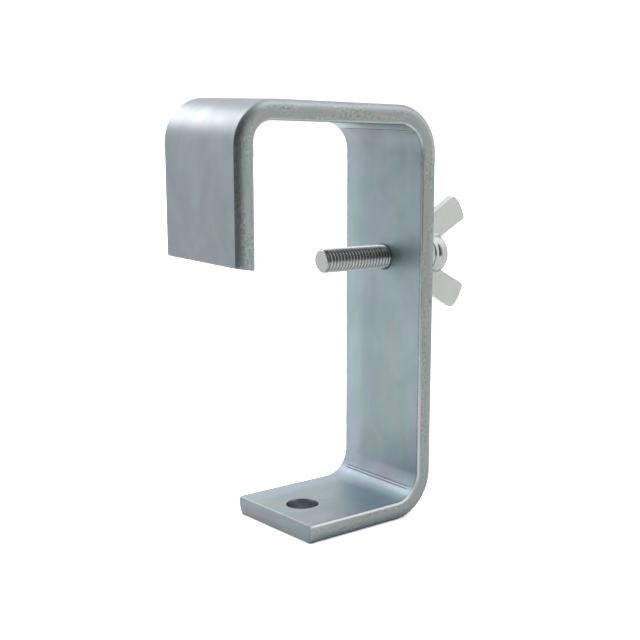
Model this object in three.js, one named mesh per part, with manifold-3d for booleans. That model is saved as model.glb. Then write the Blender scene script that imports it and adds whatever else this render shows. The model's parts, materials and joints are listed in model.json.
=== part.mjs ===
// Hook clamp for a stage pipe: a bent flat-bar bracket and a wing screw that locks the pipe in the hook.
// Millimetres, +Z up. The origin is on the crown's underside, at mid-width, where the pipe touches it.
// The lip is on the -X side, the spine and the wing head are on the +X side, and the foot is below.
import * as THREE from "three";
import { mergeVertices } from "three/addons/utils/BufferGeometryUtils.js";
import Module from "manifold-3d";

// The pipe that the clamp is made for. It hangs in the hook against the lip.
const PIPE_DIAMETER = 48.3;

// Flat bar of the bracket, with its overall sizes and the inside radii of its three bends.
const BAR_WIDTH = 40;
const BAR_THICKNESS = 6;
const BRACKET_HEIGHT = 134.5;
const CROWN_LENGTH = 74;
const LIP_LENGTH = 48;
const FOOT_LENGTH = 50;
const HOOK_BEND = 7;
const SHOULDER_BEND = 9;
const FOOT_BEND = 8.5;

// Fixture bolt hole in the foot, clearance for M10. Its centre is measured from the foot's free end.
const BOLT_HOLE_DIAMETER = 10.5;
const BOLT_HOLE_FROM_END = 11.5;

// Clamp screw, M8, and its plain running hole in the spine. The depth is from the crown's underside.
const SCREW_DIAMETER = 8;
const SCREW_HOLE_DIAMETER = 8.6;
const SCREW_DEPTH = 43.3;
const SCREW_REACH = 31;
const POINT_CHAMFER = 0.75;

// Wing head. Lengths run along the screw, from the hub's base; SPINE_TO_HUB is the gap that the hub closes.
const SPINE_TO_HUB = 9;
const HUB_LENGTH = 9.8;
const HUB_BASE_RADIUS = 6.3;
const HUB_RIM_RADIUS = 6.6;
const HUB_CROWN_RADIUS = 4.4;
const HUB_RIM_FROM_END = 1.2;
const SOCKET_DEPTH = 6.5;
const SOCKET_DIAMETER = 8.6;
const STUD_END_GAP = 0.5;

// Paddle of the wing head, in the plane of the screw's axis: [distance along the screw, distance out].
const PADDLE_THICKNESS = 3.4;
const PADDLE_ROOT_OUT = 5;
const PADDLE_ROOT_NEAR = 2;
const PADDLE_ROOT_FAR = 9.2;
const PADDLE_HEEL = [10.5, 5.9];
const PADDLE_FAR_CORNER = [20.8, 11.4];
const PADDLE_TIP_BULGE = [20.4, 16.2];
const PADDLE_NEAR_CORNER = [15.4, 19.8];
const PADDLE_THROAT = [8.7, 15.9];
const PADDLE_THROAT_PULL = [3, 12.2];

const ARC_SEGMENTS = 8;
const ROUND_SEGMENTS = 48;

const throatInner = -PIPE_DIAMETER / 2;
const lipOuter = throatInner - BAR_THICKNESS;
const spineOuter = lipOuter + CROWN_LENGTH;
const spineInner = spineOuter - BAR_THICKNESS;
const crownTop = BAR_THICKNESS;
const footBottom = crownTop - BRACKET_HEIGHT;
const footTop = footBottom + BAR_THICKNESS;
const footEnd = spineOuter - FOOT_LENGTH;
const lipEnd = crownTop - LIP_LENGTH;

const wasm = await Module();
wasm.setup();

const zincBar = new THREE.MeshStandardMaterial({ color: 0x929da3, roughness: 0.42, metalness: 0.9 });
const brightThread = new THREE.MeshStandardMaterial({ color: 0xb2b6b4, roughness: 0.3, metalness: 0.95 });
const castZinc = new THREE.MeshStandardMaterial({ color: 0xbec2c1, roughness: 0.36, metalness: 0.85 });

// A closed geometry as a solid that can be joined and cut.
function solidOf(geometry) {
  const bare = geometry.index ? geometry.toNonIndexed() : geometry.clone();
  bare.deleteAttribute("normal");
  bare.deleteAttribute("uv");
  const merged = mergeVertices(bare, 1e-4);
  const mesh = new wasm.Mesh({
    numProp: 3,
    vertProperties: merged.attributes.position.array,
    triVerts: new Uint32Array(merged.index.array),
  });
  return new wasm.Manifold(mesh);
}

// A solid back as a geometry with flat facets.
function geometryOf(solid) {
  const mesh = solid.getMesh();
  const indexed = new THREE.BufferGeometry();
  indexed.setAttribute("position", new THREE.BufferAttribute(mesh.vertProperties, 3));
  indexed.setIndex(new THREE.BufferAttribute(mesh.triVerts, 1));
  const geometry = indexed.toNonIndexed();
  geometry.computeVertexNormals();
  return geometry;
}

function namedMesh(name, geometry, material) {
  const mesh = new THREE.Mesh(geometry, material);
  mesh.name = name;
  return mesh;
}

// A closed outline through corners [x, z, radius], each rounded to its radius.
function roundedOutline(corners) {
  const points = corners.map(([x, z]) => new THREE.Vector2(x, z));
  const shape = new THREE.Shape();
  corners.forEach(([, , radius], i) => {
    const corner = points[i];
    const previous = points.at(i - 1);
    const next = points[(i + 1) % points.length];
    const inward = corner.clone().sub(previous).normalize();
    const onward = next.clone().sub(corner).normalize();
    const start = corner.clone().addScaledVector(inward, -radius);
    if (i === 0) shape.moveTo(start.x, start.y);
    else shape.lineTo(start.x, start.y);
    if (radius === 0) return;
    const centre = start.clone().addScaledVector(onward, radius);
    const fromAngle = start.clone().sub(centre).angle();
    const clockwise = inward.cross(onward) < 0;
    shape.absarc(centre.x, centre.y, radius, fromAngle, inward.angle(), clockwise);
  });
  shape.closePath();
  return shape;
}

// An outline in the XZ plane, extruded along Y and centred on Y = 0.
function extrudedAcross(shape, width) {
  const geometry = new THREE.ExtrudeGeometry(shape, {
    depth: width,
    bevelEnabled: false,
    curveSegments: ARC_SEGMENTS,
  });
  geometry.rotateX(Math.PI / 2);
  geometry.translate(0, width / 2, 0);
  return geometry;
}

// A profile of [distance along X, radius] points, turned round the X axis.
function turned(profile) {
  const points = profile.map(([along, radius]) => new THREE.Vector2(radius, along));
  const geometry = new THREE.LatheGeometry(points, ROUND_SEGMENTS);
  geometry.rotateZ(-Math.PI / 2);
  return geometry;
}

// The bent bar, with the fixture bolt hole in its foot and the screw's running hole in its spine.
function hookBracket() {
  const outline = roundedOutline([
    [footEnd, footBottom, 0],
    [spineOuter, footBottom, FOOT_BEND + BAR_THICKNESS],
    [spineOuter, crownTop, SHOULDER_BEND + BAR_THICKNESS],
    [lipOuter, crownTop, HOOK_BEND + BAR_THICKNESS],
    [lipOuter, lipEnd, 0],
    [throatInner, lipEnd, 0],
    [throatInner, 0, HOOK_BEND],
    [spineInner, 0, SHOULDER_BEND],
    [spineInner, footTop, FOOT_BEND],
    [footEnd, footTop, 0],
  ]);
  const bar = solidOf(extrudedAcross(outline, BAR_WIDTH));
  const drillLength = BAR_THICKNESS * 2;
  const boltRadius = BOLT_HOLE_DIAMETER / 2;
  const boltDrill = new THREE.CylinderGeometry(boltRadius, boltRadius, drillLength, ROUND_SEGMENTS);
  boltDrill.rotateX(Math.PI / 2);
  boltDrill.translate(footEnd + BOLT_HOLE_FROM_END, 0, footBottom + BAR_THICKNESS / 2);
  const screwRadius = SCREW_HOLE_DIAMETER / 2;
  const screwDrill = new THREE.CylinderGeometry(screwRadius, screwRadius, drillLength, ROUND_SEGMENTS);
  screwDrill.rotateZ(Math.PI / 2);
  screwDrill.translate(spineOuter - BAR_THICKNESS / 2, 0, -SCREW_DEPTH);
  const drilled = bar.subtract(solidOf(boltDrill)).subtract(solidOf(screwDrill));
  return namedMesh("hook_bracket", geometryOf(drilled), zincBar);
}

// The threaded stud as a plain M8 rod with a chamfered point. It ends inside the hub's socket.
function clampScrew() {
  const radius = SCREW_DIAMETER / 2;
  const end = SPINE_TO_HUB + SOCKET_DEPTH - STUD_END_GAP;
  const stud = turned([
    [-SCREW_REACH, 0],
    [-SCREW_REACH, radius - POINT_CHAMFER],
    [-SCREW_REACH + POINT_CHAMFER, radius],
    [end, radius],
    [end, 0],
  ]);
  return namedMesh("clamp_screw", stud, brightThread);
}

// One paddle's outline: straight far edge, bulged tip, straight near edge and a hollow sweep to the hub.
function paddleOutline() {
  const shape = new THREE.Shape();
  shape.moveTo(PADDLE_ROOT_NEAR, PADDLE_ROOT_OUT);
  shape.lineTo(PADDLE_ROOT_FAR, PADDLE_ROOT_OUT);
  shape.lineTo(...PADDLE_HEEL);
  shape.lineTo(...PADDLE_FAR_CORNER);
  shape.quadraticCurveTo(...PADDLE_TIP_BULGE, ...PADDLE_NEAR_CORNER);
  shape.lineTo(...PADDLE_THROAT);
  shape.quadraticCurveTo(...PADDLE_THROAT_PULL, PADDLE_ROOT_NEAR, PADDLE_ROOT_OUT);
  return shape;
}

// The hub with its blind socket, and two paddles half a turn apart.
function wingHead() {
  const socketRadius = SOCKET_DIAMETER / 2;
  const hub = turned([
    [SOCKET_DEPTH, 0],
    [SOCKET_DEPTH, socketRadius],
    [0, socketRadius],
    [0, HUB_BASE_RADIUS],
    [HUB_LENGTH - HUB_RIM_FROM_END, HUB_RIM_RADIUS],
    [HUB_LENGTH, HUB_CROWN_RADIUS],
    [HUB_LENGTH, 0],
  ]);
  const paddle = extrudedAcross(paddleOutline(), PADDLE_THICKNESS);
  let head = solidOf(hub);
  for (const turn of [0, Math.PI]) {
    head = head.add(solidOf(paddle.clone().rotateX(turn)));
  }
  const mesh = namedMesh("wing_head", geometryOf(head), castZinc);
  mesh.position.x = SPINE_TO_HUB;
  return mesh;
}

const screwLine = new THREE.Group();
screwLine.position.set(spineOuter, 0, -SCREW_DEPTH);
screwLine.add(clampScrew(), wingHead());

const pipeClamp = new THREE.Group();
pipeClamp.name = "pipe_clamp";
pipeClamp.add(hookBracket(), screwLine);

export default pipeClamp;
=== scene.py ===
"""Studio picture of a stage hook clamp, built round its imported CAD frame.

The bracket is one bent flat bar, built as rounded cross-sections swept along the bar's bent centre line.
The screw is a true helical thread, and the wing head is a casting blended from simple solids.
Shapes are worked out in millimetres and turned into metres when a piece is made.
"""
import json
import math
from types import SimpleNamespace

import bmesh
import bpy
import numpy as np
from mathutils import Matrix, Vector, noise


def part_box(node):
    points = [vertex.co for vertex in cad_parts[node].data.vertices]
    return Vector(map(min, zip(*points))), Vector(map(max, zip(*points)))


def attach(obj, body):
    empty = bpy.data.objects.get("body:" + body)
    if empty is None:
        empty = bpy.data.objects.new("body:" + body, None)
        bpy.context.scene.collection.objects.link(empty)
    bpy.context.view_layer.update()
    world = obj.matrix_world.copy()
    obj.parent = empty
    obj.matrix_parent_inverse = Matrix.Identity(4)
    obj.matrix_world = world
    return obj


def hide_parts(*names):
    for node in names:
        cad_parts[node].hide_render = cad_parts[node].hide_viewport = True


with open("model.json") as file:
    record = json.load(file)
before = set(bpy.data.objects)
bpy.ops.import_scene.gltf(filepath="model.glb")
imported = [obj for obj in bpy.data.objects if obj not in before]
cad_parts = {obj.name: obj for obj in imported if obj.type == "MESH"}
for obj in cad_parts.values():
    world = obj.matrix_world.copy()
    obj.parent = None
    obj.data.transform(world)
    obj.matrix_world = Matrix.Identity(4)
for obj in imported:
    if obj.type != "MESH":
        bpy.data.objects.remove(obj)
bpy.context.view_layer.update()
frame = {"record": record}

MM = 0.001
mounts = {m["name"]: Vector(m["pos_m"]) / MM for m in frame["record"]["mounts"]}


def node_box(node):
    low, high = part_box(node)
    return low / MM, high / MM


# ---------------------------------------------------------------- sizes, in millimetres

bar_low, bar_high = node_box("hook_bracket")
stud_low, stud_high = node_box("clamp_screw")
head_low, head_high = node_box("wing_head")

BAR_THICKNESS = bar_high.z - mounts["pipe_seat"].z
HALF_BAR = BAR_THICKNESS / 2
HALF_WIDTH = bar_high.y
SCREW_Z = mounts["screw_point"].z

LIP_LENGTH = 48.0
FOOT_LENGTH = 50.0
HOOK_BEND = 7.0
SHOULDER_BEND = 9.0
FOOT_BEND = 8.5

# The share of its thickness that the bar lost in the tight hook bend, and how far past the bend it goes.
HOOK_THINNING = 0.13
THINNING_RUNOUT = 1.5

BOLT_HOLE_FROM_END = 11.5
BOLT_HOLE_RADIUS = 5.2
SCREW_HOLE_RADIUS = 4.06

# A hole's chamfer, which is slightly crowned: the middle's shares of it outward and down, and its depth.
HOLE_CHAMFER = 0.2
CHAMFER_MIDDLE = (0.35, 0.55)
CHAMFER_DEPTH = 1.1

# The bar's sides: a flank that rolls over toward the outer face and meets it in a crisp corner,
# then a flat wall, and a small round at the inner face.
FLANK_RADIUS = 5.6
FLANK_TURN = 40.0
FLANK_STEPS = 7
CORNER_RADIUS = 0.25
CORNER_STEPS = 3
INNER_ARRIS = 0.8
ARRIS_STEPS = 5
END_ROUND = 0.55
END_STEPS = 4

# The sheared ends: the lip's slants up toward its outer face, the foot's is cut a little askew,
# and both have a rounded corner on the +Y side. The reaches say how far each of these spreads.
LIP_END_SLANT = 0.9
LIP_SLANT_REACH = 6.0
FOOT_END_SKEW = 0.75
FAR_CORNER_ROUND = 0.7
FAR_CORNER_REACH = 8.0

# Rows of cross-sections along the bar, and the square block of the grid that frames each hole.
ROW_PITCH = 1.0
BEND_ROWS = 26
HOLE_BLOCK = 9.0
BLOCK_CELLS = 12
BESIDE_BLOCK = 8
SIDE_CELLS = 4
RING_SHARES = (0.0, 0.35, 0.65, 0.86)
WALL_RINGS = 5
HOLE_ROW_GAP = 0.3
PUNCH_ROW_GAP = 0.15
END_ROW_GAP = 0.2
SAME_PLACE = 1e-6

# How far the bar's sides stand inside the ideal section, as a constant part, slow wander and fine pits.
SIDE_SHRINK = 0.08
WANDER_DEPTH = 0.10
PIT_DEPTH = 0.03

PITCH = 1.25
THREAD_RADIUS = stud_high.y
THREAD_DEPTH = 0.60
THREAD_STEPS = 8
THREAD_AROUND = 56
SPARE_TURNS = 2
POINT_CHAMFER = 0.75
CAP_INSET = 0.12


# Points closer than this are one point, and a face smaller than this is none, in metres.
MERGE_DISTANCE = 1e-7
NO_AREA = 1e-14


# ---------------------------------------------------------------- mesh helpers

def new_piece(name, points, faces, material, vectors=None):
    """A smooth mesh object from points in millimetres, with an optional named vector for each point."""
    mesh = bpy.data.meshes.new(name)
    mesh.from_pydata([tuple(p) for p in np.asarray(points) * MM], [], faces)
    for key, values in (vectors or {}).items():
        attribute = mesh.attributes.new(key, "FLOAT_VECTOR", "POINT")
        attribute.data.foreach_set("vector", np.asarray(values, np.float32).ravel())
    bm = bmesh.new()
    bm.from_mesh(mesh)
    bmesh.ops.delete(bm, geom=[v for v in bm.verts if not v.link_faces], context="VERTS")
    bmesh.ops.remove_doubles(bm, verts=bm.verts, dist=MERGE_DISTANCE)
    bmesh.ops.dissolve_degenerate(bm, edges=bm.edges, dist=MERGE_DISTANCE)
    bmesh.ops.recalc_face_normals(bm, faces=bm.faces)
    bm.to_mesh(mesh)
    bm.free()
    mesh.polygons.foreach_set("use_smooth", [True] * len(mesh.polygons))
    mesh.materials.append(material)
    piece = bpy.data.objects.new(name, mesh)
    bpy.context.scene.collection.objects.link(piece)
    return piece


def smooth_step(x, low, high):
    t = np.clip((x - low) / (high - low), 0, 1)
    return t * t * (3 - 2 * t)


# ---------------------------------------------------------------- node helpers

class Nodes:
    """Short spellings for building a material's or a world's node tree."""

    def __init__(self, tree):
        self.tree = tree
        self.tree.nodes.clear()

    def add(self, kind, inputs=None, **settings):
        node = self.tree.nodes.new(kind)
        for key, value in settings.items():
            setattr(node, key, value)
        for key, value in (inputs or {}).items():
            self.put(node.inputs[key], value)
        return node

    def put(self, socket, value):
        if isinstance(value, bpy.types.NodeSocket):
            self.tree.links.new(value, socket)
        else:
            socket.default_value = value

    def math(self, operation, a, b=0.0):
        node = self.add("ShaderNodeMath", operation=operation)
        for socket, value in zip(node.inputs, (a, b)):
            self.put(socket, value)
        return node.outputs[0]

    def times(self, a, b):
        return self.math("MULTIPLY", a, b)

    def band(self, value, centre, half_width, soft):
        """1 where value is within half_width of centre, falling to 0 over soft."""
        away = self.math("ABSOLUTE", self.math("SUBTRACT", value, centre))
        return self.map_range(away, half_width, half_width + soft, 1.0, 0.0)

    def map_range(self, value, low, high, to_low=0.0, to_high=1.0):
        node = self.add("ShaderNodeMapRange", interpolation_type="SMOOTHSTEP")
        for key, number in zip(
            ("Value", "From Min", "From Max", "To Min", "To Max"), (value, low, high, to_low, to_high)
        ):
            self.put(node.inputs[key], number)
        return node.outputs[0]

    def noise(self, vector, scale, detail=2.0, roughness=0.5, distortion=0.0):
        node = self.add(
            "ShaderNodeTexNoise",
            {
                "Vector": vector,
                "Scale": scale,
                "Detail": detail,
                "Roughness": roughness,
                "Distortion": distortion,
            },
        )
        return node.outputs[0]

    def grey(self, tone):
        return self.add("ShaderNodeCombineColor", {0: tone, 1: tone, 2: tone}).outputs[0]

    def toned(self, colour, tone):
        return self.mix(1.0, colour, self.grey(tone), "MULTIPLY")

    def scaled(self, vector, factors):
        node = self.add("ShaderNodeVectorMath", operation="MULTIPLY")
        self.put(node.inputs[0], vector)
        node.inputs[1].default_value = factors
        return node.outputs[0]

    def ramp(self, value, stops):
        node = self.add("ShaderNodeValToRGB", {"Fac": value})
        elements = node.color_ramp.elements
        while len(elements) < len(stops):
            elements.new(0.5)
        for element, (position, colour) in zip(elements, stops):
            element.position = position
            element.color = (*colour, 1.0)
        return node.outputs[0]

    def mix(self, factor, a, b, blend="MIX"):
        node = self.add("ShaderNodeMix", data_type="RGBA", blend_type=blend)
        colours = [s for s in node.inputs if s.type == "RGBA"]
        self.put(node.inputs[0], factor)
        for socket, value in zip(colours, (a, b)):
            self.put(socket, value if isinstance(value, bpy.types.NodeSocket) else (*value, 1.0))
        return next(s for s in node.outputs if s.type == "RGBA")

    def bump(self, height, distance, strength, normal=None):
        node = self.add("ShaderNodeBump", {"Height": height, "Distance": distance, "Strength": strength})
        if normal is not None:
            self.put(node.inputs["Normal"], normal)
        return node.outputs[0]

    def metal_surface(self, colour, roughness, normal):
        shader = self.add(
            "ShaderNodeBsdfPrincipled",
            {"Base Color": colour, "Roughness": roughness, "Metallic": 1.0, "Normal": normal},
        )
        output = self.add("ShaderNodeOutputMaterial")
        self.put(output.inputs["Surface"], shader.outputs[0])


def new_material(name):
    material = bpy.data.materials.new(name)
    material.use_nodes = True
    return material, Nodes(material.node_tree)


# ---------------------------------------------------------------- bent bar: centre line

class BentLine:
    """A line of straight runs joined by right-hand bends, in the XZ plane."""

    def __init__(self, start, heading):
        self.runs = []
        self.point = np.array(start, float)
        self.heading = heading
        self.length = 0.0

    def straight(self, length):
        self.runs.append(("straight", self.length, length, self.point.copy(), self.heading))
        self.point = self.point + length * np.array([math.cos(self.heading), math.sin(self.heading)])
        self.length += length
        return self.length

    def bend(self, radius):
        """A quarter turn to the right about a centre on the right-hand side."""
        self.runs.append(("bend", self.length, radius * math.pi / 2, self.point.copy(), self.heading))
        right = self.heading - math.pi / 2
        ahead = np.array([math.cos(self.heading), math.sin(self.heading)])
        side = np.array([math.cos(right), math.sin(right)])
        self.point = self.point + radius * (ahead + side)
        self.heading = right
        self.length += radius * math.pi / 2
        return self.length

    def at(self, s):
        """Point and right-hand normal at a length s along the line."""
        for kind, start, length, origin, heading in self.runs:
            if s <= start + length + 1e-9:
                break
        along = s - start
        if kind == "straight":
            point = origin + along * np.array([math.cos(heading), math.sin(heading)])
            turned = heading
        else:
            radius = length / (math.pi / 2)
            turned = heading - along / radius
            right = heading - math.pi / 2
            centre = origin + radius * np.array([math.cos(right), math.sin(right)])
            outward = turned + math.pi / 2
            point = centre + radius * np.array([math.cos(outward), math.sin(outward)])
        normal = turned - math.pi / 2
        return point, np.array([math.cos(normal), math.sin(normal)])


def bar_centre_line():
    """From the lip's end, over the crown and down the spine to the foot's end."""
    line = BentLine((bar_low.x + HALF_BAR, bar_high.z - LIP_LENGTH), math.pi / 2)
    marks = {}
    marks["hook_start"] = line.straight(LIP_LENGTH - BAR_THICKNESS - HOOK_BEND)
    marks["hook_end"] = line.bend(HOOK_BEND + HALF_BAR)
    crown = bar_high.x - bar_low.x - 2 * BAR_THICKNESS - HOOK_BEND - SHOULDER_BEND
    marks["shoulder_start"] = line.straight(crown)
    marks["shoulder_end"] = line.bend(SHOULDER_BEND + HALF_BAR)
    spine = bar_high.z - bar_low.z - 2 * BAR_THICKNESS - SHOULDER_BEND - FOOT_BEND
    screw_down = -SCREW_Z - SHOULDER_BEND
    marks["screw"] = marks["shoulder_end"] + screw_down
    marks["foot_bend_start"] = line.straight(spine)
    marks["foot_bend_end"] = line.bend(FOOT_BEND + HALF_BAR)
    marks["end"] = line.straight(FOOT_LENGTH - BAR_THICKNESS - FOOT_BEND)
    marks["bolt"] = marks["end"] - BOLT_HOLE_FROM_END
    return line, marks


bar_line, bar_marks = bar_centre_line()

# Lengths along the bar where the press's punch left a pair of fine lines inside a bend.
PUNCH_LINES = (
    bar_marks["shoulder_start"] + 2.4,
    bar_marks["shoulder_start"] + 7.8,
    bar_marks["foot_bend_start"] + 7.3,
    bar_marks["foot_bend_start"] + 8.5,
)
PUNCH_HALF_WIDTH = 0.24
PUNCH_DEPTH = 0.1

# The distances from the bar's sides over which a punch line deepens from nothing.
PUNCH_RUNOUT = (1.0, 5.0)
INNER_SKIN = 0.05


# ---------------------------------------------------------------- bent bar: mesh

def bar_rows():
    """Lengths along the bar at which a cross-section is placed."""
    rows = set()
    for kind, start, length, *_ in bar_line.runs:
        count = BEND_ROWS if kind == "bend" else max(1, round(length / ROW_PITCH))
        rows.update(start + length * i / count for i in range(count + 1))
    for hole in ("screw", "bolt"):
        centre = bar_marks[hole]
        rows = {s for s in rows if abs(s - centre) > HOLE_BLOCK + HOLE_ROW_GAP}
        rows.update(centre + HOLE_BLOCK * (2 * i / BLOCK_CELLS - 1) for i in range(BLOCK_CELLS + 1))
    for line in PUNCH_LINES:
        rows = {s for s in rows if abs(s - line) > PUNCH_HALF_WIDTH + PUNCH_ROW_GAP}
        rows.update((line - PUNCH_HALF_WIDTH, line, line + PUNCH_HALF_WIDTH))
    margin = END_ROUND + END_ROW_GAP
    ordered = sorted(s for s in rows if margin < s < bar_line.length - margin)
    spaced = [ordered[0]]
    for s in ordered[1:]:
        if s - spaced[-1] > SAME_PLACE:
            spaced.append(s)
    return spaced


def flat_positions():
    """Places across the flat of the bar, with a finer stretch in the middle that frames the holes."""
    turn = math.radians(FLANK_TURN)
    reach = HALF_WIDTH - FLANK_RADIUS + (FLANK_RADIUS - CORNER_RADIUS) * math.cos(turn)
    outer = [-reach, *np.linspace(CORNER_RADIUS - reach, -HOLE_BLOCK, BESIDE_BLOCK)]
    middle = list(np.linspace(-HOLE_BLOCK, HOLE_BLOCK, BLOCK_CELLS + 1))[1:]
    return outer + middle + [-y for y in reversed(outer)][1:]


FLAT = flat_positions()


def right_side():
    """Points (y, h) up the bar's right side, from just after the outer face to the inner face's edge."""
    points = []

    def arc(y, h, radius, from_degrees, to_degrees, steps):
        for i in range(1, steps + 1):
            angle = math.radians(from_degrees + (to_degrees - from_degrees) * i / steps)
            points.append((y + radius * math.cos(angle), h + radius * math.sin(angle)))

    turn = math.radians(FLANK_TURN)
    spare = FLANK_RADIUS - CORNER_RADIUS
    flank_top = -HALF_BAR + CORNER_RADIUS + spare * math.sin(turn)
    arc(FLAT[-1], -HALF_BAR + CORNER_RADIUS, CORNER_RADIUS, -90, -FLANK_TURN, CORNER_STEPS)
    arc(HALF_WIDTH - FLANK_RADIUS, flank_top, FLANK_RADIUS, -FLANK_TURN, 0, FLANK_STEPS)
    wall_top = HALF_BAR - INNER_ARRIS
    for i in range(1, SIDE_CELLS + 1):
        points.append((HALF_WIDTH, flank_top + (wall_top - flank_top) * i / SIDE_CELLS))
    arc(HALF_WIDTH - INNER_ARRIS, wall_top, INNER_ARRIS, 0, 90, ARRIS_STEPS)
    return points


RIGHT_SIDE = right_side()


def section(inset):
    """The cross-section's outline as (y, h) points, shrunk by inset; h runs from outer to inner face."""
    outline = [(y, -HALF_BAR) for y in FLAT]
    outline += RIGHT_SIDE
    outline += [(y, HALF_BAR) for y in reversed(FLAT)]
    outline += [(-y, h) for y, h in reversed(RIGHT_SIDE)]
    return [(y * (1 - inset / HALF_WIDTH), h * (1 - inset / HALF_BAR)) for y, h in outline]


def side_noise(s, y, h, along_scale, height_scale, place):
    """Noise over the bar's sides, different on the two sides and at each place."""
    return noise.noise(Vector((s * along_scale, h * height_scale, place + math.copysign(5.0, y))))


def bar_wear(s, y, h):
    """Small departures from the ideal section: uneven sides, a thinned bend, a rounded corner, grooves."""
    side = smooth_step(abs(y), FLAT[-1], HALF_WIDTH)
    wander = side_noise(s, y, h, 0.09, 0.25, 3.0) * WANDER_DEPTH
    pits = side_noise(s, y, h, 0.8, 0.8, 9.0) * PIT_DEPTH
    y -= math.copysign(side * (SIDE_SHRINK + abs(wander) + abs(pits)), y)
    hook_middle = (bar_marks["hook_start"] + bar_marks["hook_end"]) / 2
    hook_reach = bar_marks["hook_end"] - hook_middle + THINNING_RUNOUT
    h *= 1 - HOOK_THINNING * (1 - smooth_step(abs(s - hook_middle), 0.0, hook_reach))
    from_end = min(s, bar_line.length - s)
    if from_end < FAR_CORNER_ROUND:
        short = FAR_CORNER_ROUND - math.sqrt(FAR_CORNER_ROUND**2 - (FAR_CORNER_ROUND - from_end) ** 2)
        y -= short * smooth_step(y, HALF_WIDTH - FAR_CORNER_REACH, HALF_WIDTH)
    if h > HALF_BAR - INNER_SKIN:
        for line in PUNCH_LINES:
            if abs(s - line) < SAME_PLACE:
                h -= PUNCH_DEPTH * smooth_step(HALF_WIDTH - abs(y), *PUNCH_RUNOUT)
    return y, h


def end_cut(s, y, h):
    """The length s with the lip's slant and the foot's skew, which fade out a short way from the end."""
    at_lip = 1 - smooth_step(s, 0.0, LIP_SLANT_REACH)
    at_foot = smooth_step(s, bar_marks["bolt"] + HOLE_BLOCK, bar_line.length)
    s += at_lip * LIP_END_SLANT * (HALF_BAR - h) / BAR_THICKNESS
    s -= at_foot * FOOT_END_SKEW * (1 - y / HALF_WIDTH) / 2
    return s


def bar_point(s, y, h, wear=True):
    if wear:
        y, h = bar_wear(s, y, h)
        s = end_cut(s, y, h)
    (x, z), normal = bar_line.at(s)
    return (x + h * normal[0], y, z + h * normal[1])


def ring_of_block(centre):
    """The square of grid corners round a hole, as (s, y) and the angle that each takes on the hole."""
    step = 2 / BLOCK_CELLS
    sides = (((1, -1), (0, 1)), ((1, 1), (-1, 0)), ((-1, 1), (0, -1)), ((-1, -1), (1, 0)))
    ring = []
    for quarter, (corner, move) in enumerate(sides):
        for i in range(BLOCK_CELLS):
            s = centre + HOLE_BLOCK * (corner[0] + move[0] * step * i)
            y = HOLE_BLOCK * (corner[1] + move[1] * step * i)
            angle = math.radians(-45 + 90 * (quarter + i / BLOCK_CELLS))
            ring.append((s, y, angle))
    return ring


def build_bracket(material):
    """The swept bar with two drilled holes, its edges rounded, as one closed mesh."""
    points, coords, faces = [], [], []
    lookup = {}

    def vertex(s, y, h, wear=True):
        key = (round(s, 4), round(y, 4), round(h, 4))
        if key not in lookup:
            lookup[key] = len(points)
            points.append(bar_point(s, y, h, wear))
            coords.append((s, y, h))
        return lookup[key]

    rows = [(s, 0.0) for s in bar_rows()]
    for i in range(END_STEPS + 1):
        angle = math.radians(90 * i / END_STEPS)
        short = END_ROUND * (1 - math.cos(angle))
        inset = END_ROUND * (1 - math.sin(angle))
        rows.insert(i, (short, inset))
        rows.insert(len(rows) - i, (bar_line.length - short, inset))
    loops = [[vertex(s, y, h) for y, h in section(inset)] for s, inset in rows]

    flat_count = len(FLAT)
    first = next(i for i, y in enumerate(FLAT) if abs(y + HOLE_BLOCK) < SAME_PLACE)
    outer_cells = range(first, first + BLOCK_CELLS)
    inner_start = flat_count + len(RIGHT_SIDE)
    inner_last = inner_start + flat_count - 1 - first
    inner_cells = range(inner_last - BLOCK_CELLS, inner_last)
    skipped = set(outer_cells) | set(inner_cells)
    size = len(loops[0])
    for (s_a, _), (s_b, _), loop_a, loop_b in zip(rows, rows[1:], loops, loops[1:]):
        middle = (s_a + s_b) / 2
        in_block = any(abs(middle - bar_marks[hole]) < HOLE_BLOCK for hole in ("screw", "bolt"))
        for i in range(size):
            if in_block and i in skipped:
                continue
            j = (i + 1) % size
            faces.append((loop_a[i], loop_b[i], loop_b[j], loop_a[j]))

    for loop, flip in ((loops[0], False), (loops[-1], True)):
        outer = loop[:flat_count]
        inner = loop[inner_start : inner_start + flat_count][::-1]
        caps = [(outer[i], outer[i + 1], inner[i + 1], inner[i]) for i in range(flat_count - 1)]
        caps.append(tuple(loop[flat_count - 1 : inner_start + 1]))
        caps.append(tuple(loop[inner_start + flat_count - 1 :] + [loop[0]]))
        faces.extend(tuple(reversed(c)) if flip else c for c in caps)

    drill(vertex, faces, bar_marks["bolt"], BOLT_HOLE_RADIUS)
    drill(vertex, faces, bar_marks["screw"], SCREW_HOLE_RADIUS)
    return new_piece("bracket_bar", points, faces, material, vectors={"bar_coord": coords})


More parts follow.
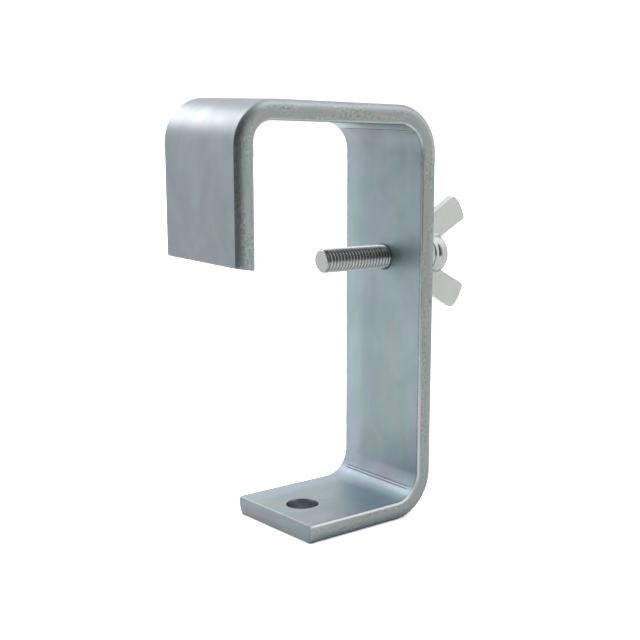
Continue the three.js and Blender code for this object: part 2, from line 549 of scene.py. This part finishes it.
def drill(vertex, faces, centre, radius):
    """A chamfered hole through the bar, ringed from the block's square on one face to that on the other."""
    square = ring_of_block(centre)
    rim = radius + HOLE_CHAMFER
    bevel = radius + HOLE_CHAMFER * CHAMFER_MIDDLE[0]
    bevel_height = HALF_BAR - HOLE_CHAMFER * CHAMFER_MIDDLE[1]
    wall_height = HALF_BAR - HOLE_CHAMFER * CHAMFER_DEPTH
    levels = [(share, rim, -HALF_BAR) for share in (*RING_SHARES, 1.0)]
    levels.append((1.0, bevel, -bevel_height))
    levels += [(1.0, radius, h) for h in np.linspace(-wall_height, wall_height, WALL_RINGS)]
    levels.append((1.0, bevel, bevel_height))
    levels += [(share, rim, HALF_BAR) for share in (1.0, *reversed(RING_SHARES))]
    rings = []
    for share, reach, h in levels:
        ring = []
        for s, y, angle in square:
            hole_s = centre + reach * math.cos(angle)
            hole_y = reach * math.sin(angle)
            ring.append(vertex(s + (hole_s - s) * share, y + (hole_y - y) * share, h, wear=False))
        rings.append(ring)
    count = len(square)
    for ring_a, ring_b in zip(rings, rings[1:]):
        for i in range(count):
            j = (i + 1) % count
            faces.append((ring_a[i], ring_a[j], ring_b[j], ring_b[i]))


# ---------------------------------------------------------------- clamp screw

def thread_profile():
    """One pitch of the thread: places along the screw, and the share of the thread's depth at each."""
    profile = []
    for k in range(THREAD_STEPS):
        share = k / THREAD_STEPS
        profile.append((PITCH * share, (1 - math.cos(2 * math.pi * share)) / 2))
    return profile


def build_screw(material):
    """An M8 thread whose rows follow the helix, cut square and chamfered at both ends."""
    around = THREAD_AROUND
    start, end = stud_low.x, stud_high.x
    point_radius = THREAD_RADIUS - POINT_CHAMFER
    profile = thread_profile()
    turns = range(-SPARE_TURNS, math.ceil((end - start) / PITCH) + SPARE_TURNS)
    places = [(start + PITCH * turn + offset, depth) for turn in turns for offset, depth in profile]
    points, coords, faces = [], [], []
    for row, (x_row, depth) in enumerate(places):
        for i in range(around + 1):
            angle = 2 * math.pi * i / around
            x = min(max(x_row + PITCH * i / around, start), end)
            radius = THREAD_RADIUS - THREAD_DEPTH * depth
            radius = min(radius, point_radius + (x - start), point_radius + (end - x))
            points.append((x, -radius * math.sin(angle), SCREW_Z + radius * math.cos(angle)))
            coords.append((x - start, radius, angle))
            if row and i:
                a = row * (around + 1) + i
                b = a - around - 1
                faces.append((a, a - 1, b - 1, b))
    # One turn further along is the row one profile later, so the seam joins row to row.
    step = len(profile)
    seam = {}
    for row in range(len(places) - step):
        seam[row * (around + 1) + around] = (row + step) * (around + 1)
    faces = [tuple(seam.get(v, v) for v in face) for face in faces]
    faces = [f for f in faces if len(set(f)) == 4]
    piece = new_piece("screw_thread", points, faces, material, vectors={"stud_coord": coords})
    cap_open_ends(piece)
    return piece


def cap_open_ends(piece):
    """Fills each open loop with a ring of quads round a centre face, which stays flat."""
    bm = bmesh.new()
    bm.from_mesh(piece.data)
    stray = [v for v in bm.verts if all(abs(f.calc_area()) < NO_AREA for f in v.link_faces)]
    bmesh.ops.delete(bm, geom=stray, context="VERTS")
    edges = [e for e in bm.edges if e.is_boundary]
    filled = bmesh.ops.holes_fill(bm, edges=edges, sides=0)["faces"]
    bmesh.ops.inset_region(bm, faces=filled, thickness=CAP_INSET * MM, use_even_offset=True)
    bmesh.ops.recalc_face_normals(bm, faces=bm.faces)
    bm.to_mesh(piece.data)
    bm.free()
    piece.data.polygons.foreach_set("use_smooth", [len(p.vertices) < 5 for p in piece.data.polygons])


# ---------------------------------------------------------------- wing head

HEAD_VOXEL = 0.23
HUB_BLEND = 1.0
HUB_ROUND = 0.15
PADDLE_THICKNESS = 3.3
PADDLE_ROUND = 0.4
CURVE_STEPS = 8

# A paddle thins by this much a side for each millimetre out, over a stretch that starts past the hub.
PADDLE_TAPER = 0.015
TAPER_START = 8.0
TAPER_LENGTH = 14.0

# The hub's outline: distance from its base along the screw, and radius.
HUB_PROFILE = (
    (0.0, 5.6),
    (0.6, 6.2),
    (2.7, 6.2),
    (3.2, 5.5),
    (3.5, 5.5),
    (3.8, 6.0),
    (4.3, 6.05),
    (4.8, 5.95),
    (5.5, 6.3),
    (6.3, 6.55),
    (8.2, 6.5),
    (9.2, 5.7),
    (9.65, 4.0),
)
SOCKET_RADIUS = 4.2
SOCKET_DEPTH = 6.4

# A paddle's outline: distance from the hub's base along the screw, and distance out from the screw's axis.
PADDLE_EDGE = (
    ("to", (2.2, 4.8)),
    ("to", (9.3, 4.8)),
    ("to", (10.4, 6.0)),
    ("to", (20.1, 11.25)),
    ("curve", (20.65, 11.6), (20.55, 12.5)),
    ("curve", (19.2, 16.8), (16.6, 18.9)),
    ("curve", (15.7, 19.8), (14.7, 19.3)),
    ("to", (8.8, 15.8)),
    ("curve", (3.2, 12.2), (2.2, 4.8)),
)


def paddle_polygon():
    """The corners of a paddle's outline, whose last curve ends where the outline starts."""
    points = []
    for kind, *places in PADDLE_EDGE:
        if kind == "to":
            points.append(places[0])
            continue
        start, control, end = np.array(points[-1]), np.array(places[0]), np.array(places[1])
        for i in range(1, CURVE_STEPS + 1):
            t = i / CURVE_STEPS
            points.append(tuple((1 - t) ** 2 * start + 2 * t * (1 - t) * control + t * t * end))
    return np.array(points[:-1])


def polygon_distance(px, pz, polygon):
    """Signed distance from points to a closed polygon, negative inside."""
    best = np.full(px.shape, 1e9)
    inside = np.zeros(px.shape, bool)
    for (ax, az), (bx, bz) in zip(polygon, np.roll(polygon, -1, axis=0)):
        ex, ez = bx - ax, bz - az
        wx, wz = px - ax, pz - az
        t = np.clip((wx * ex + wz * ez) / (ex * ex + ez * ez), 0, 1)
        best = np.minimum(best, (wx - ex * t) ** 2 + (wz - ez * t) ** 2)
        crosses = (az > pz) != (bz > pz)
        slope = ex / ez if abs(ez) > 1e-12 else 0.0
        inside ^= crosses & (px < ax + (pz - az) * slope)
    return np.where(inside, -1, 1) * np.sqrt(best)


def smooth_union(a, b, radius):
    h = np.maximum(radius - np.abs(a - b), 0) / radius
    return np.minimum(a, b) - h * h * radius / 4


def rounded_meet(a, b, radius):
    """Intersection of two solids with their shared edge rounded to a radius."""
    u = np.maximum(a + radius, 0)
    v = np.maximum(b + radius, 0)
    return np.minimum(np.maximum(a, b), -radius) + np.hypot(u, v)


def head_distance(x, y, z):
    """Signed distance to the wing head, with x from the hub's base and y, z from the screw's axis."""
    r = np.hypot(y, z)
    hub_polygon = np.array([(0.0, -1.0), *HUB_PROFILE, (HUB_PROFILE[-1][0], -1.0)])
    hub = polygon_distance(x, r, hub_polygon) - HUB_ROUND
    out = np.abs(z)
    blade = polygon_distance(x, out, paddle_polygon())
    half = PADDLE_THICKNESS / 2 - PADDLE_TAPER * np.clip(out - TAPER_START, 0, TAPER_LENGTH)
    blade = rounded_meet(blade, np.abs(y) - half, PADDLE_ROUND)
    head = smooth_union(hub, blade, HUB_BLEND)
    socket = np.maximum(r - SOCKET_RADIUS, x - SOCKET_DEPTH)
    return np.maximum(head, -socket)


def surface_net(field, origin, voxel):
    """Points and quads of the zero surface of a field sampled on a grid."""
    inside = field < 0
    shape = np.array(field.shape) - 1
    corner_sum = np.zeros((*shape, 3))
    corner_count = np.zeros(shape)
    corners = [np.array(c) for c in np.ndindex(2, 2, 2)]

    def part(array, offset):
        return array[tuple(slice(start, start + size) for start, size in zip(offset, shape))]

    for a in corners:
        for axis in range(3):
            if a[axis]:
                continue
            b = a.copy()
            b[axis] = 1
            fa, fb = part(field, a), part(field, b)
            crosses = part(inside, a) != part(inside, b)
            t = np.where(crosses, fa / np.where(crosses, fa - fb, 1), 0)
            for k in range(3):
                place = a[k] + (t if k == axis else 0)
                corner_sum[..., k] += np.where(crosses, place, 0)
            corner_count += crosses
    active = corner_count > 0
    index = np.full(shape, -1)
    index[active] = np.arange(active.sum())
    cells = np.argwhere(active)
    points = origin + voxel * (cells + corner_sum[active] / corner_count[active][:, None])
    quads = []
    for axis in range(3):
        u, v = (axis + 1) % 3, (axis + 2) % 3
        step = np.zeros(3, int)
        step[axis] = 1
        a = inside[: shape[0] + 1 - step[0], : shape[1] + 1 - step[1], : shape[2] + 1 - step[2]]
        b = inside[step[0] :, step[1] :, step[2] :]
        for place in np.argwhere(a != b):
            if place[u] == 0 or place[v] == 0 or place[u] >= shape[u] or place[v] >= shape[v]:
                continue
            ring = []
            for du, dv in ((-1, -1), (0, -1), (0, 0), (-1, 0)):
                cell = place.copy()
                cell[u] += du
                cell[v] += dv
                ring.append(int(index[tuple(cell)]))
            quads.append(tuple(ring if inside[tuple(place)] else ring[::-1]))
    return points, quads


def build_wing_head(material):
    """The casting: a waisted hub and two paddles, blended where they meet, with the stud's socket."""
    margin = 3 * HEAD_VOXEL
    base = np.array([head_low.x, 0, SCREW_Z])
    low = np.array(head_low) - base - margin
    high = np.array(head_high) - base + margin
    axes = [np.arange(lo, hi + HEAD_VOXEL, HEAD_VOXEL) for lo, hi in zip(low, high)]
    x, y, z = np.meshgrid(*axes, indexing="ij")
    points, quads = surface_net(head_distance(x, y, z), low, HEAD_VOXEL)
    return new_piece("wing_casting", points + base, quads, material)


# ---------------------------------------------------------------- materials

def attribute_parts(n, name):
    attribute = n.add("ShaderNodeAttribute", attribute_name=name)
    parts = n.add("ShaderNodeSeparateXYZ", {"Vector": attribute.outputs["Vector"]})
    return attribute.outputs["Vector"], *parts.outputs[:3]


# Base colours of the bar's faces and sides at places along the bar, from the lip's end to the foot's end.
# The faces' brightness partly paints light and shade: lighter on the lower spine, standing in for light
# from the floor, and darker just past the foot bend, to tone down that bend's highlight.
FACE_TINTS = (
    (0.0, (0.310, 0.343, 0.372)),
    (LIP_LENGTH / 2, (0.314, 0.344, 0.374)),
    (LIP_LENGTH - BAR_THICKNESS, (0.345, 0.375, 0.405)),
    (bar_marks["shoulder_start"], (0.320, 0.350, 0.375)),
    (bar_marks["shoulder_end"], (0.290, 0.354, 0.378)),
    (bar_marks["screw"], (0.332, 0.416, 0.444)),
    (bar_marks["foot_bend_start"] - 30.0, (0.362, 0.430, 0.456)),
    (bar_marks["foot_bend_start"], (0.322, 0.385, 0.418)),
    (bar_marks["foot_bend_end"] + 4.0, (0.304, 0.360, 0.402)),
    (bar_marks["bolt"], (0.338, 0.384, 0.424)),
    (bar_line.length, (0.345, 0.412, 0.425)),
)
SIDE_TINTS = (
    (0.0, (0.350, 0.398, 0.388)),
    (bar_marks["shoulder_start"] * 0.6, (0.345, 0.378, 0.368)),
    (bar_marks["shoulder_start"], (0.330, 0.365, 0.355)),
    (bar_marks["screw"], (0.320, 0.350, 0.340)),
    (bar_marks["foot_bend_start"], (0.340, 0.380, 0.375)),
    (bar_line.length, (0.410, 0.464, 0.460)),
)


# How much the clouds, streaks, shearing and grain darken and lighten the bar, and how much painted shade
# darkens its rolled flanks.
CLOUD_TONE = (0.95, 1.05)
STREAK_TONE = (0.98, 1.02)
SHEAR_TONE = (0.93, 1.07)
SPECKLE_TONE = (0.74, 1.26)
FLANK_SHADE = 0.80
FOOT_GRAIN = 0.5

# Casts that multiply the tints, by the value of a noise, and their strength on the spine and the foot.
FACE_CASTS = (
    (0.30, (1.02, 1.01, 0.94)),
    (0.42, (0.93, 1.02, 0.98)),
    (0.52, (0.98, 0.99, 1.03)),
    (0.66, (1.07, 0.97, 1.02)),
)
SIDE_CASTS = (
    (0.34, (1.12, 0.99, 1.06)),
    (0.47, (1.0, 1.0, 1.0)),
    (0.62, (0.95, 1.01, 0.98)),
)
NO_CAST = (1.0, 1.0, 1.0)
CAST_STRENGTH = (0.6, 1.0)
SHOULDER_STRIP_CAST = (1.45, 1.55, 1.42)
MID_GREY = (0.5, 0.5, 0.5)

# The crown's flanks with their painted highlight, the inner face toward +Y, the painted highlight along the
# edges and the punch's marks: colours and shares.
# A painted highlight on the crown's flanks, which face up and out, and its share.
CROWN_FLANK_HIGHLIGHT = (0.75, 0.79, 0.79)
CROWN_HIGHLIGHT_SHARE = 0.38
CROWN_INSET = 6.0
CROWN_FADE = 4.0
FAR_EDGE_TONE = 1.75
FAR_EDGE_SHARE = 0.35
# A painted highlight along the edges: its colour, and its strength from the screw to the foot bend.
EDGE_HIGHLIGHT = (0.78, 0.83, 0.83)
EDGE_HIGHLIGHT_STRENGTH = (0.4, 0.95)
PUNCH_MARK = (0.08, 0.09, 0.10)
PUNCH_MARK_SHARE = 0.75

BAR_ROUGHNESS = (0.45, 0.39)
FLANK_POLISH = 0.05

# Bumps, as their depth in metres and their strength.
BAR_WAVES = (0.0006, 0.25)
BAR_TEXTURE = (0.00003, 0.3)
BAR_PITS = (0.00020, 0.7)
THREAD_TEXTURE = (0.00002, 0.3)
CAST_SKIN = (0.00002, 0.15)


def bar_place(n):
    """Sockets for where on the bar a point lies, and whether it is on the inner face, side or flank."""
    coord, s, y, h = attribute_parts(n, "bar_coord")
    across = n.math("ABSOLUTE", y)
    near_outer = n.map_range(h, 2.6 - HALF_BAR, 0.8 - HALF_BAR)
    return SimpleNamespace(
        coord=coord,
        s=s,
        y=y,
        h=h,
        across=across,
        inner=n.map_range(h, HALF_BAR - 0.5, HALF_BAR - 0.2),
        side=n.map_range(across, HALF_WIDTH - 0.9, HALF_WIDTH - 0.25),
        flank=n.times(near_outer, n.map_range(across, FLAT[-1], HALF_WIDTH - 0.6)),
    )


def tinted_along(n, place, stops):
    """A colour that changes along the bar, from stops of (length along the bar, colour)."""
    share = n.math("DIVIDE", place.s, bar_line.length)
    return n.ramp(share, [(length / bar_line.length, colour) for length, colour in stops])


def bar_face_colour(n, place, cloud):
    """The faces' tint, with drifting blue, green and pink casts and faint clouds and streaks."""
    drift = n.noise(n.scaled(place.coord, (0.030, 0.055, 0.3)), 1.0, detail=2.5, distortion=0.8)
    strength = n.map_range(place.s, bar_marks["screw"], bar_marks["foot_bend_start"], *CAST_STRENGTH)
    cast = n.mix(strength, NO_CAST, n.ramp(drift, FACE_CASTS))
    streak = n.noise(n.scaled(place.coord, (0.015, 0.30, 0.5)), 1.0, detail=3.0)
    cloud_tone = n.map_range(cloud, 0.28, 0.72, *CLOUD_TONE)
    streak_tone = n.map_range(streak, 0.3, 0.7, *STREAK_TONE)
    tinted = n.mix(1.0, tinted_along(n, place, FACE_TINTS), cast, "MULTIPLY")
    return n.toned(tinted, n.times(cloud_tone, streak_tone))


def bar_speckle(n, place):
    """Fine grain, which shows in patches on most of the bar and everywhere on the foot."""
    grain = n.noise(n.scaled(place.coord, (1.1, 1.5, 1.5)), 1.0, detail=5.0, roughness=0.65)
    spread = n.noise(n.scaled(place.coord, (0.07, 0.2, 0.35)), 1.0)
    patch = n.map_range(spread, 0.42, 0.62)
    foot = (bar_marks["foot_bend_start"], bar_marks["foot_bend_end"])
    on_foot = n.map_range(place.s, *foot, 0.0, FOOT_GRAIN)
    return n.mix(n.math("MAXIMUM", patch, on_foot), MID_GREY, n.grey(grain))


def bar_side_colour(n, place, speckle_tone):
    """The sides' tint, with stains, the streaks of shearing and the grain."""
    shear = n.noise(n.scaled(place.coord, (0.05, 0.2, 1.3)), 1.0, detail=3.0, roughness=0.6)
    shear_tone = n.map_range(shear, 0.3, 0.7, *SHEAR_TONE)
    stain_place = n.scaled(place.coord, (0.10, 0.3, 0.4))
    stain = n.noise(stain_place, 1.0, detail=3.0, roughness=0.6, distortion=1.0)
    tinted = n.mix(1.0, tinted_along(n, place, SIDE_TINTS), n.ramp(stain, SIDE_CASTS), "MULTIPLY")
    return n.toned(tinted, n.times(speckle_tone, shear_tone))


def with_painted_crown_highlight(n, place, colour):
    """Lightens the crown's rolled flanks with a painted highlight."""
    crown_start = LIP_LENGTH - BAR_THICKNESS + CROWN_INSET
    crown_end = bar_marks["shoulder_end"]
    crown = n.band(place.s, (crown_start + crown_end) / 2, (crown_end - crown_start) / 2, CROWN_FADE)
    share = n.times(n.times(crown, place.flank), CROWN_HIGHLIGHT_SHARE)
    return n.mix(share, colour, CROWN_FLANK_HIGHLIGHT)


def with_edge_lightening_and_highlight(n, place, colour):
    """Lightens the inner face toward its +Y edge, and paints a highlight along its edges, mostly at the
    foot.
    """
    toward_edge = n.map_range(place.y, HALF_WIDTH - 14.0, HALF_WIDTH - 1.0, 0.0, FAR_EDGE_SHARE)
    colour = n.mix(n.times(toward_edge, place.inner), colour, n.toned(colour, FAR_EDGE_TONE))
    near_side = n.band(place.across, HALF_WIDTH - 0.2, 0.25, 0.35)
    near_face = n.band(place.h, HALF_BAR - 0.2, 0.25, 0.35)
    # The painted edge highlight is strongest toward the foot.
    wear = n.map_range(place.s, bar_marks["screw"], bar_marks["foot_bend_end"], *EDGE_HIGHLIGHT_STRENGTH)
    return n.mix(n.times(n.times(near_side, near_face), wear), colour, EDGE_HIGHLIGHT)


def with_press_marks(n, place, colour):
    """A lighter strip inside the shoulder bend, and the dark lines that the punch left."""
    strip = n.band(place.s, (PUNCH_LINES[0] + PUNCH_LINES[1]) / 2, 2.0, 1.5)
    lighter = n.mix(1.0, colour, SHOULDER_STRIP_CAST, "MULTIPLY")
    colour = n.mix(n.times(strip, place.inner), colour, lighter)
    marks = 0.0
    for line in PUNCH_LINES:
        marks = n.math("MAXIMUM", marks, n.band(place.s, line, 0.10, 0.25))
    ends = n.map_range(place.across, HALF_WIDTH - 4.5, HALF_WIDTH - 2.5, 1.0, 0.0)
    marks = n.times(n.times(marks, ends), place.inner)
    return n.mix(n.times(marks, PUNCH_MARK_SHARE), colour, PUNCH_MARK)


def bar_normal(n, place, speckle):
    """Slow waves and a fine texture all over, and pits in the sides."""
    uneven = n.noise(n.scaled(place.coord, (0.10, 0.08, 0.1)), 1.0)
    fine = n.noise(place.coord, 2.2, detail=3.0, roughness=0.6)
    textured = n.bump(fine, *BAR_TEXTURE, n.bump(uneven, *BAR_WAVES))
    return n.bump(n.times(speckle, place.side), *BAR_PITS, textured)


def zinc_bar_material():
    """Satin zinc plate: drifting casts on the faces, and duller, finely mottled sides."""
    material, n = new_material("zinc_plated_bar")
    place = bar_place(n)
    cloud_place = n.scaled(place.coord, (0.075, 0.11, 0.3))
    cloud = n.noise(cloud_place, 1.0, detail=3.0, roughness=0.55, distortion=0.5)
    speckle = bar_speckle(n, place)
    speckle_tone = n.map_range(speckle, 0.34, 0.66, *SPECKLE_TONE)

    colour = bar_face_colour(n, place, cloud)
    # The rolled flanks get painted shade that deepens their dark band.
    rolled = n.map_range(place.across, FLAT[-1], FLAT[-1] + 0.4)
    colour = n.mix(rolled, colour, n.toned(colour, n.times(speckle_tone, FLANK_SHADE)))
    colour = n.mix(place.side, colour, bar_side_colour(n, place, speckle_tone))
    colour = with_painted_crown_highlight(n, place, colour)
    colour = with_edge_lightening_and_highlight(n, place, colour)
    colour = with_press_marks(n, place, colour)

    face_rough = n.map_range(cloud, 0.25, 0.75, *BAR_ROUGHNESS)
    roughness = n.math("SUBTRACT", face_rough, n.times(place.flank, FLANK_POLISH))
    n.metal_surface(colour, roughness, bar_normal(n, place, speckle))
    return material


# The roots' colour is painted shade in the thread's grooves; the crests carry the metal's own colour.
THREAD_ROOT_SHADE = (0.21, 0.23, 0.23)
THREAD_CREST = (0.60, 0.61, 0.60)
THREAD_SPOT = (0.6, 0.6, 0.6)
SPOT_SHARE = 0.08
# How much of the crest colour the point takes instead of the roots' painted shade.
POINT_CREST_SHARE = 0.8
THREAD_ROUGHNESS = (0.26, 0.32)
CASTING_DARK = (0.54, 0.565, 0.545)
CASTING_LIGHT = (0.58, 0.605, 0.585)
CASTING_ROUGHNESS = (0.20, 0.28)

# Noise cells in a metre: specks of about a millimetre, and clouds of about a centimetre.
SPECKS = 900.0
CLOUDS = 90.0


def thread_material():
    """Bright rolled thread: crest-coloured metal with its roots darkened as painted shade."""
    material, n = new_material("bright_rolled_thread")
    _, along, radius, _ = attribute_parts(n, "stud_coord")
    crest = n.map_range(radius, THREAD_RADIUS - THREAD_DEPTH, THREAD_RADIUS)
    point = n.map_range(along, 0.1, 0.5, 1.0, 0.0)
    spots = n.noise(n.add("ShaderNodeTexCoord").outputs["Object"], SPECKS, detail=3.0)
    # Roots get painted shade; the point takes most of the crest colour instead.
    metal = n.mix(n.math("MAXIMUM", crest, n.times(point, POINT_CREST_SHARE)), THREAD_ROOT_SHADE, THREAD_CREST)
    colour = n.mix(n.map_range(spots, 0.35, 0.7, 0.0, SPOT_SHARE), metal, THREAD_SPOT)
    roughness = n.map_range(spots, 0.3, 0.7, *THREAD_ROUGHNESS)
    n.metal_surface(colour, roughness, n.bump(spots, *THREAD_TEXTURE))
    return material


def wing_material():
    """Zinc plated casting: fine cast skin, light grey, smooth on the paddles' faces."""
    material, n = new_material("plated_casting")
    place = n.add("ShaderNodeTexCoord").outputs["Object"]
    skin = n.noise(place, SPECKS, detail=3.0)
    cloud = n.noise(place, CLOUDS)
    colour = n.mix(n.map_range(cloud, 0.3, 0.7), CASTING_DARK, CASTING_LIGHT)
    roughness = n.map_range(cloud, 0.3, 0.7, *CASTING_ROUGHNESS)
    n.metal_surface(colour, roughness, n.bump(skin, *CAST_SKIN))
    return material


# What the camera sees of the floor is brighter than what lights the clamp, so that the floor shows
# as paper white with only a contact shadow.
FLOOR_TONE = (0.86, 0.88)
FLOOR_TONE_LIFT = 0.9
FLOOR_GLOW = 0.2


def floor_material():
    material, n = new_material("pale_floor")
    place = n.add("ShaderNodeTexCoord").outputs["Object"]
    tone = n.map_range(n.noise(place, 6.0), 0.3, 0.7, *FLOOR_TONE)
    camera_ray = n.add("ShaderNodeLightPath").outputs["Is Camera Ray"]
    tone = n.math("ADD", tone, n.times(camera_ray, FLOOR_TONE_LIFT))
    paper = n.add("ShaderNodeBsdfDiffuse", {"Color": n.grey(tone)})
    glow = n.add("ShaderNodeEmission", {"Color": (1, 1, 1, 1), "Strength": n.times(camera_ray, FLOOR_GLOW)})
    both = n.add("ShaderNodeAddShader")
    n.put(both.inputs[0], paper.outputs[0])
    n.put(both.inputs[1], glow.outputs[0])
    output = n.add("ShaderNodeOutputMaterial")
    n.put(output.inputs["Surface"], both.outputs[0])
    return material


# ---------------------------------------------------------------- studio

# The tent's opening: the way to it from the clamp, the cosines at which it starts and is fully dark,
# the heights on the unit sphere between which its lower and upper edges fade, and how dark it gets.
OPENING_WAY = (-0.571, -0.804)
OPENING_SPREAD = (0.62, 0.82)
OPENING_BOTTOM = (-0.30, -0.20)
OPENING_TOP = (0.72, 0.9)
OPENING_DEPTH = 0.92

# The tent's light at two heights on the unit sphere, and the white that the camera sees instead.
TENT_HEIGHTS = (0.3, 0.85)
TENT_LIGHT = (0.93, 1.35)
BACKDROP = 1.15

# A round sheet of paper that ends a short way outside the opening, in metres.
FLOOR_RADIUS = 2.0
FLOOR_EDGE = 0.3
FLOOR_GAP = 0.0001


def build_floor():
    bm = bmesh.new()
    bmesh.ops.create_circle(bm, cap_ends=True, segments=96, radius=FLOOR_RADIUS)
    mesh = bpy.data.meshes.new("floor")
    bm.to_mesh(mesh)
    bm.free()
    mesh.materials.append(floor_material())
    floor = bpy.data.objects.new("floor", mesh)
    away = FLOOR_RADIUS - FLOOR_EDGE
    floor.location = (-OPENING_WAY[0] * away, -OPENING_WAY[1] * away, bar_low.z * MM - FLOOR_GAP)
    bpy.context.scene.collection.objects.link(floor)


def studio_world():
    """A white tent with a dark opening where the camera stands; the camera itself sees plain white."""
    world = bpy.data.worlds.new("studio")
    bpy.context.scene.world = world
    world.use_nodes = True
    n = Nodes(world.node_tree)
    direction = n.add("ShaderNodeTexCoord").outputs["Generated"]
    parts = n.add("ShaderNodeSeparateXYZ", {"Vector": direction})
    x, y, z = parts.outputs[:3]
    flat = n.math("SQRT", n.math("ADD", n.times(x, x), n.times(y, y)))
    toward = n.math("ADD", n.times(x, OPENING_WAY[0]), n.times(y, OPENING_WAY[1]))
    facing = n.map_range(n.math("DIVIDE", toward, flat), *OPENING_SPREAD)
    above = n.map_range(z, *OPENING_BOTTOM)
    below = n.map_range(z, *OPENING_TOP, 1.0, 0.0)
    opening = n.times(facing, n.times(above, below))
    tent = n.map_range(z, *TENT_HEIGHTS, *TENT_LIGHT)
    level = n.times(tent, n.math("SUBTRACT", 1.0, n.times(opening, OPENING_DEPTH)))
    camera_ray = n.add("ShaderNodeLightPath").outputs["Is Camera Ray"]
    shown = n.math("MAXIMUM", n.times(camera_ray, BACKDROP), level)
    background = n.add("ShaderNodeBackground", {"Color": (1, 1, 1, 1), "Strength": shown})
    output = n.add("ShaderNodeOutputWorld")
    n.put(output.inputs["Surface"], background.outputs[0])


def area_light(name, position, target, size, watts):
    """A white rectangular light, unseen by the camera; places and sizes are in metres."""
    light = bpy.data.lights.new(name, "AREA")
    light.shape = "RECTANGLE"
    light.size, light.size_y = size
    light.energy = watts
    lamp = bpy.data.objects.new(name, light)
    lamp.location = position
    lamp.rotation_euler = (Vector(target) - Vector(position)).to_track_quat("-Z", "Y").to_euler()
    lamp.visible_camera = False
    bpy.context.scene.collection.objects.link(lamp)


# The camera's place in millimetres, its angles in degrees, and its lens in millimetres of a 36 mm sensor.
CAMERA_MM = (-201.55, -293.6, 0.3)
CAMERA_YAW = 44.25
CAMERA_PITCH = 11.56
CAMERA_ROLL = 1.91
CAMERA_LENS = 63.675
CAMERA_SENSOR = 36.0
CAMERA_CLIP = 0.01
CAMERA_SHIFT = {"shift_x": -0.295, "shift_y": 0.0606}
HOME_MARGIN = 0.0005


def build_camera():
    camera = bpy.data.cameras.new("camera")
    camera.lens = CAMERA_LENS
    camera.sensor_width = CAMERA_SENSOR
    camera.clip_start = CAMERA_CLIP
    holder = bpy.data.objects.new("camera", camera)
    yaw, pitch = math.radians(CAMERA_YAW), math.radians(CAMERA_PITCH)
    ahead = Vector((math.cos(yaw) * math.cos(pitch), math.sin(yaw) * math.cos(pitch), -math.sin(pitch)))
    look = ahead.to_track_quat("-Z", "Y").to_matrix().to_4x4()
    roll = Matrix.Rotation(math.radians(CAMERA_ROLL), 4, "Z")
    holder.matrix_world = Matrix.Translation(Vector(CAMERA_MM) * MM) @ look @ roll
    bpy.context.scene.collection.objects.link(holder)
    bpy.context.scene.camera = holder
    shift_at_home(holder)


def shift_at_home(holder):
    """Shifts the lens off centre while the camera stands at its own place; anywhere else it is centred."""
    home = CAMERA_MM[0] * MM
    for setting, amount in CAMERA_SHIFT.items():
        curve = holder.data.driver_add(setting)
        for modifier in list(curve.modifiers):
            curve.modifiers.remove(modifier)
        curve.driver.type = "AVERAGE"
        variable = curve.driver.variables.new()
        variable.type = "TRANSFORMS"
        variable.targets[0].id = holder
        variable.targets[0].transform_type = "LOC_X"
        variable.targets[0].transform_space = "WORLD_SPACE"
        points = ((home - HOME_MARGIN, 0.0), (home, amount), (home + HOME_MARGIN, 0.0))
        curve.keyframe_points.add(len(points))
        for key, point in zip(curve.keyframe_points, points):
            key.co = point
            key.interpolation = "LINEAR"


# ---------------------------------------------------------------- assembly

bracket = build_bracket(zinc_bar_material())
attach(bracket, "bracket")
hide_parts("hook_bracket")

screw = build_screw(thread_material())
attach(screw, "wing")
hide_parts("clamp_screw")

head = build_wing_head(wing_material())
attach(head, "wing")
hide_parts("wing_head")

build_floor()
studio_world()
area_light(
    "back_softbox",
    position=(-0.06, 0.20, 0.105),
    target=(-0.03, 0.0, -0.01),
    size=(0.10, 0.09),
    watts=0.088,
)
area_light(
    "right_softbox",
    position=(0.21, 0.16, 0.045),
    target=(0.03, 0.0, -0.04),
    size=(0.06, 0.06),
    watts=0.03,
)
build_camera()
bpy.context.scene.view_settings.view_transform = "Standard"
bpy.context.scene.view_settings.look = "None"
